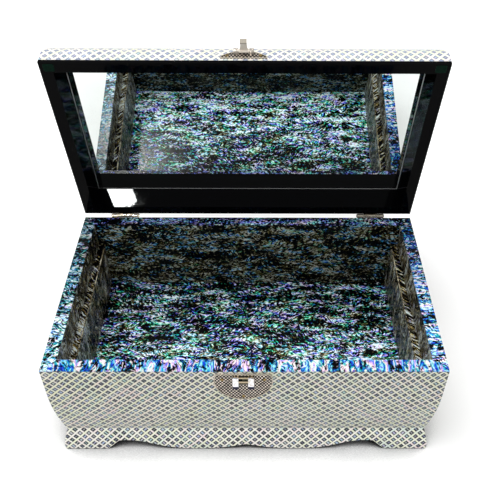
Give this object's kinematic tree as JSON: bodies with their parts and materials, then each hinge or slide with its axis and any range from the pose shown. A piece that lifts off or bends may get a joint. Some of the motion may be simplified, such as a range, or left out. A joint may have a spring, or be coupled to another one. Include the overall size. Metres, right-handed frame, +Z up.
{
  "type": "jewelry chest",
  "caption": "Wooden jewelry chest faced with a pearl-shell lattice, abalone inside and on the rim, with a mirrored lid on rear hinges and a front hasp.",
  "frame": {"origin": "on the floor, under the middle of the open chest's bounding box, which is behind the middle of the case because the open lid reaches back", "axes": "+X to the chest's right as seen from the front, +Y from the front to the hinges, +Z up"},
  "size_m": [0.362, 0.2488, 0.3595],
  "materials": {
    "pearl_lattice": "diagonal lattice of pale pearl-shell strips over grey pearl, under clear gloss lacquer",
    "abalone_rim": "abalone shell strip under clear gloss lacquer",
    "abalone_lining": "dark abalone shell sheet under clear gloss lacquer",
    "abalone_board": "wood faced with dark abalone shell under clear gloss lacquer",
    "black_lacquer": "black lacquer, high gloss",
    "bare_board": "plain board, unfinished",
    "mirror": "silvered glass with a bevelled edge",
    "pewter": "dark pewter, finely stippled",
    "bright_nickel": "bright nickel plate",
    "brushed_nickel": "brushed nickel, slightly warm",
    "brass_nails": "brass, domed",
    "green_felt": "dark green felt"
  },
  "bodies": {
    "case": {"case_wall_front": "pearl_lattice", "case_wall_right": "pearl_lattice", "case_wall_back": "pearl_lattice", "case_wall_left": "pearl_lattice", "floor_board": "bare_board", "rim_strip_front": "abalone_rim", "rim_strip_right": "abalone_rim", "rim_strip_back": "abalone_rim", "rim_strip_left": "abalone_rim", "lining_floor": "abalone_lining", "lining_front": "abalone_lining", "lining_back": "abalone_lining", "lining_left": "abalone_lining", "lining_right": "abalone_lining", "tray_board_left": "abalone_board", "tray_board_right": "abalone_board", "plinth_front": "pearl_lattice", "plinth_right": "pearl_lattice", "plinth_back": "pearl_lattice", "plinth_left": "pearl_lattice", "glue_blocks": "bare_board", "catch_plate": "pewter", "catch_bridge": "bright_nickel", "catch_nails": "brass_nails", "hinge_screws_case": "bright_nickel", "hinge_leaf_case_left": "bright_nickel", "hinge_pin_left": "bright_nickel", "hinge_leaf_case_right": "bright_nickel", "hinge_pin_right": "bright_nickel"},
    "lid": {"lid_rail_front": "pearl_lattice", "lid_rail_right": "pearl_lattice", "lid_rail_back": "pearl_lattice", "lid_rail_left": "pearl_lattice", "lid_panel": "pearl_lattice", "lid_moulding_front": "black_lacquer", "lid_moulding_right": "black_lacquer", "lid_moulding_back": "black_lacquer", "lid_moulding_left": "black_lacquer", "mirror_glass": "mirror", "mirror_backing": "bare_board", "felt_pads": "green_felt", "hasp_plate": "pewter", "hasp_pin": "bright_nickel", "hasp_nails": "brass_nails", "hinge_screws_lid": "bright_nickel", "hinge_leaf_lid_left": "bright_nickel", "hinge_leaf_lid_right": "bright_nickel"},
    "hasp": {"hasp_tab": "brushed_nickel"}
  },
  "joints": [
    {"name": "lid_hinge", "type": "hinge", "parent": "case", "child": "lid", "pos_m": [0, 0.0921, 0.1264], "axis": [-1, 0, 0], "range_deg": [-78.7, 16.3]},
    {"name": "hasp_hinge", "type": "hinge", "parent": "lid", "child": "hasp", "pos_m": [-0.0014, 0.06211, 0.34078], "axis": [-1, 0, 0], "range_deg": [-61, 59]}
  ]
}
